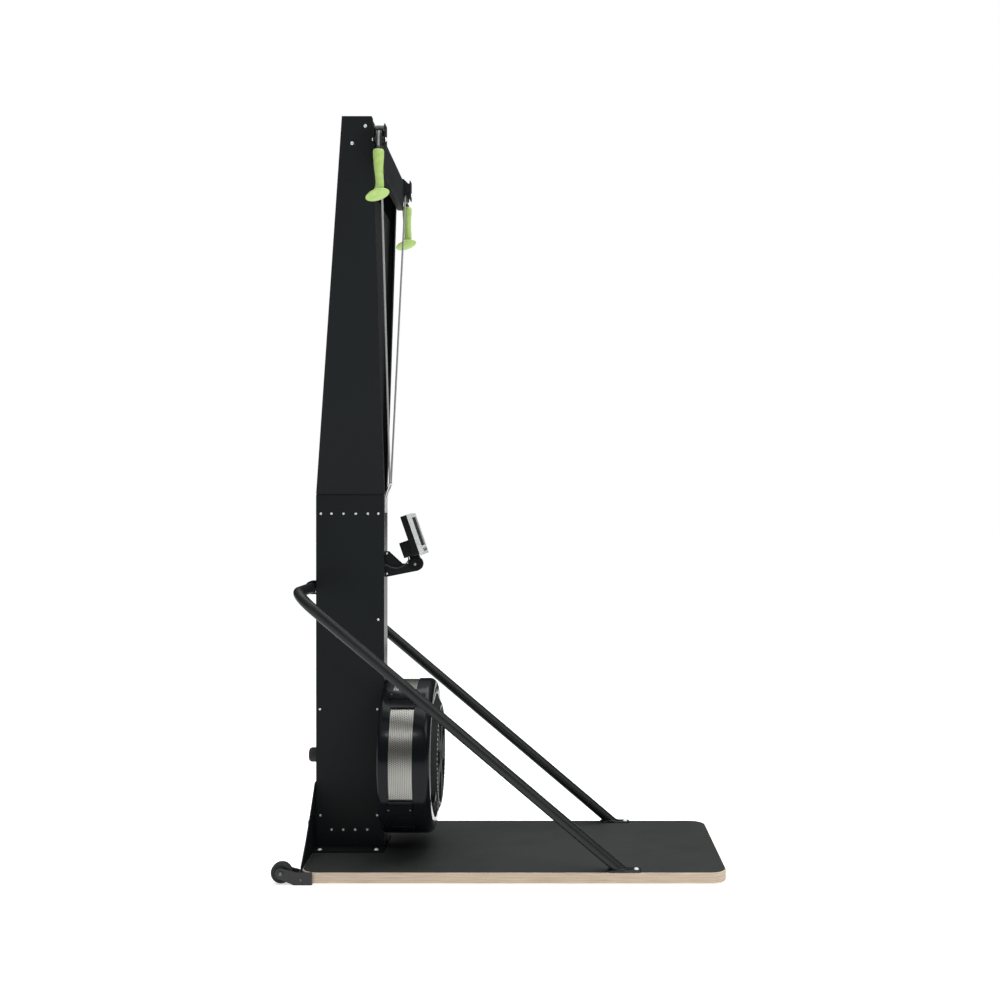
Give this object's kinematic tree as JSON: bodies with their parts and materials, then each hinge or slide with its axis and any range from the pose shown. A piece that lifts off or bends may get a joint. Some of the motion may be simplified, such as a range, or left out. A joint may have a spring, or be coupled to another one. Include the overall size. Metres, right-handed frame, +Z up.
{
  "type": "ski trainer machine",
  "caption": "Air-resistance ski trainer: plywood deck, flared sheet-metal column, fan drum, pull handles on corded pulleys and a tilting monitor.",
  "frame": {"origin": "centre of the machine's footprint box, on the floor", "axes": "+Z up, +X from the column towards the user's end of the deck, +Y to the user's right when facing the column"},
  "size_m": [1.288, 0.7654, 2.157],
  "materials": {
    "black_steel": "near-black satin powder coat with a fine orange-peel texture",
    "tube_steel": "near-black satin powder coat on bent tube",
    "plywood": "birch plywood with its layers showing at the edge",
    "mat_rubber": "matt black rubber sheet with a fine grain",
    "black_rubber": "matt black moulded rubber",
    "black_plastic": "moulded black plastic, lightly textured",
    "gloss_black": "gloss black moulded shell",
    "silver_band": "bright perforated steel sheet",
    "bright_steel": "zinc-bright turned steel",
    "lime_grip": "lime-green moulded grip, satin",
    "grey_plastic": "light grey moulded bezel",
    "screen_glass": "dark display window",
    "cord_braid": "black braided cord",
    "cable_jacket": "thin black cable jacket"
  },
  "bodies": {
    "frame": {"deck_board": "plywood", "deck_mat": "mat_rubber", "foot_strip_front": "black_rubber", "foot_strip_rear": "black_rubber", "column_base": "black_steel", "rear_gusset": "black_steel", "column_side_left": "black_steel", "column_side_right": "black_steel", "column_front_plate": "black_steel", "column_rear_plate": "black_steel", "wing_left": "black_steel", "wing_right": "black_steel", "v_front_panel": "black_steel", "v_rear_panel": "black_steel", "top_cap": "black_steel", "header_beam": "black_steel", "pulley_bracket_left": "black_steel", "pulley_bracket_right": "black_steel", "drive_cord_left": "cord_braid", "drive_cord_right": "cord_braid", "cord_guide": "bright_steel", "stay_tube_left": "tube_steel", "stay_tube_right": "tube_steel", "stay_clamp": "black_steel", "fan_rear_shell": "gloss_black", "fan_band": "silver_band", "fan_front_shell": "gloss_black", "fan_front_cover": "gloss_black", "bearing_front": "bright_steel", "bearing_rear": "bright_steel", "end_cap": "black_plastic", "return_cord_left": "cord_braid", "return_cord_right": "cord_braid", "return_anchor": "black_steel", "wheel_bracket_left": "black_plastic", "wheel_bracket_right": "black_plastic", "monitor_arm": "black_steel", "monitor_cable": "cable_jacket", "cable_grommet": "black_rubber"},
    "left_handle": {"handle_left": "lime_grip", "cord_ferrule_left": "black_plastic", "handle_cord_left": "cord_braid"},
    "right_handle": {"handle_right": "lime_grip", "cord_ferrule_right": "black_plastic", "handle_cord_right": "cord_braid"},
    "left_pulley": {"pulley_left": "black_plastic"},
    "right_pulley": {"pulley_right": "black_plastic"},
    "left_spool": {"cord_spool_left": "black_plastic"},
    "right_spool": {"cord_spool_right": "black_plastic"},
    "fan": {"fan_wheel": "black_plastic", "fan_shaft": "bright_steel"},
    "damper": {"damper_ring": "black_plastic"},
    "left_wheel": {"transport_wheel_left": "black_rubber"},
    "right_wheel": {"transport_wheel_right": "black_rubber"},
    "monitor": {"monitor_case": "black_plastic", "monitor_bezel": "grey_plastic", "monitor_screen": "screen_glass"},
    "button_1": {"monitor_button_1": "black_rubber"},
    "button_2": {"monitor_button_2": "black_rubber"},
    "button_3": {"monitor_button_3": "black_rubber"}
  },
  "joints": [
    {"name": "left_handle_pull", "type": "slide", "parent": "frame", "child": "left_handle", "axis": [0, 0, -1], "range_m": [0, 1.3], "stiffness_N_per_m": 20, "springref_m": -0.5, "deforming": ["handle_cord_left"]},
    {"name": "right_handle_pull", "type": "slide", "parent": "frame", "child": "right_handle", "axis": [0, 0, -1], "range_m": [0, 1.3], "stiffness_N_per_m": 20, "springref_m": -0.5, "deforming": ["handle_cord_right"]},
    {"name": "left_pulley_spin", "type": "hinge", "parent": "frame", "child": "left_pulley", "pos_m": [-0.331, -0.338, 2.085], "axis": [1, 0, 0], "range_deg": [0, 3390]},
    {"name": "right_pulley_spin", "type": "hinge", "parent": "frame", "child": "right_pulley", "pos_m": [-0.331, 0.338, 2.085], "axis": [-1, 0, 0], "range_deg": [0, 3390]},
    {"name": "left_spool_spin", "type": "hinge", "parent": "frame", "child": "left_spool", "pos_m": [-0.426, 0, 0.309], "axis": [-1, 0, 0], "range_deg": [0, 2570]},
    {"name": "right_spool_spin", "type": "hinge", "parent": "frame", "child": "right_spool", "pos_m": [-0.456, 0, 0.309], "axis": [-1, 0, 0], "range_deg": [0, 2570]},
    {"name": "fan_spin", "type": "hinge", "parent": "frame", "child": "fan", "pos_m": [-0.3, 0, 0.309], "axis": [-1, 0, 0], "continuous": true},
    {"name": "damper_turn", "type": "hinge", "parent": "frame", "child": "damper", "pos_m": [-0.193, 0, 0.309], "axis": [-1, 0, 0], "range_deg": [0, 36]},
    {"name": "left_wheel_roll", "type": "hinge", "parent": "frame", "child": "left_wheel", "pos_m": [-0.614, -0.285, 0.032], "axis": [0, 1, 0], "continuous": true},
    {"name": "right_wheel_roll", "type": "hinge", "parent": "frame", "child": "right_wheel", "pos_m": [-0.614, 0.285, 0.032], "axis": [0, 1, 0], "continuous": true},
    {"name": "monitor_tilt", "type": "hinge", "parent": "frame", "child": "monitor", "pos_m": [-0.265, 0, 0.8885], "axis": [0, 1, 0], "range_deg": [-15, 30], "deforming": ["monitor_cable"]},
    {"name": "button_1_press", "type": "slide", "parent": "monitor", "child": "button_1", "axis": [-0.9455, 0, -0.3256], "range_m": [0, 0.0015], "stiffness_N_per_m": 300, "springref_m": -0.0005},
    {"name": "button_2_press", "type": "slide", "parent": "monitor", "child": "button_2", "axis": [-0.9455, 0, -0.3256], "range_m": [0, 0.0015], "stiffness_N_per_m": 300, "springref_m": -0.0005},
    {"name": "button_3_press", "type": "slide", "parent": "monitor", "child": "button_3", "axis": [-0.9455, 0, -0.3256], "range_m": [0, 0.0015], "stiffness_N_per_m": 300, "springref_m": -0.0005}
  ],
  "couplings": [
    {"joint": "left_pulley_spin", "follows": "left_handle_pull", "rad_per_m": 45.455},
    {"joint": "right_pulley_spin", "follows": "right_handle_pull", "rad_per_m": 45.455},
    {"joint": "left_spool_spin", "follows": "left_handle_pull", "rad_per_m": 34.483},
    {"joint": "right_spool_spin", "follows": "right_handle_pull", "rad_per_m": 34.483}
  ]
}
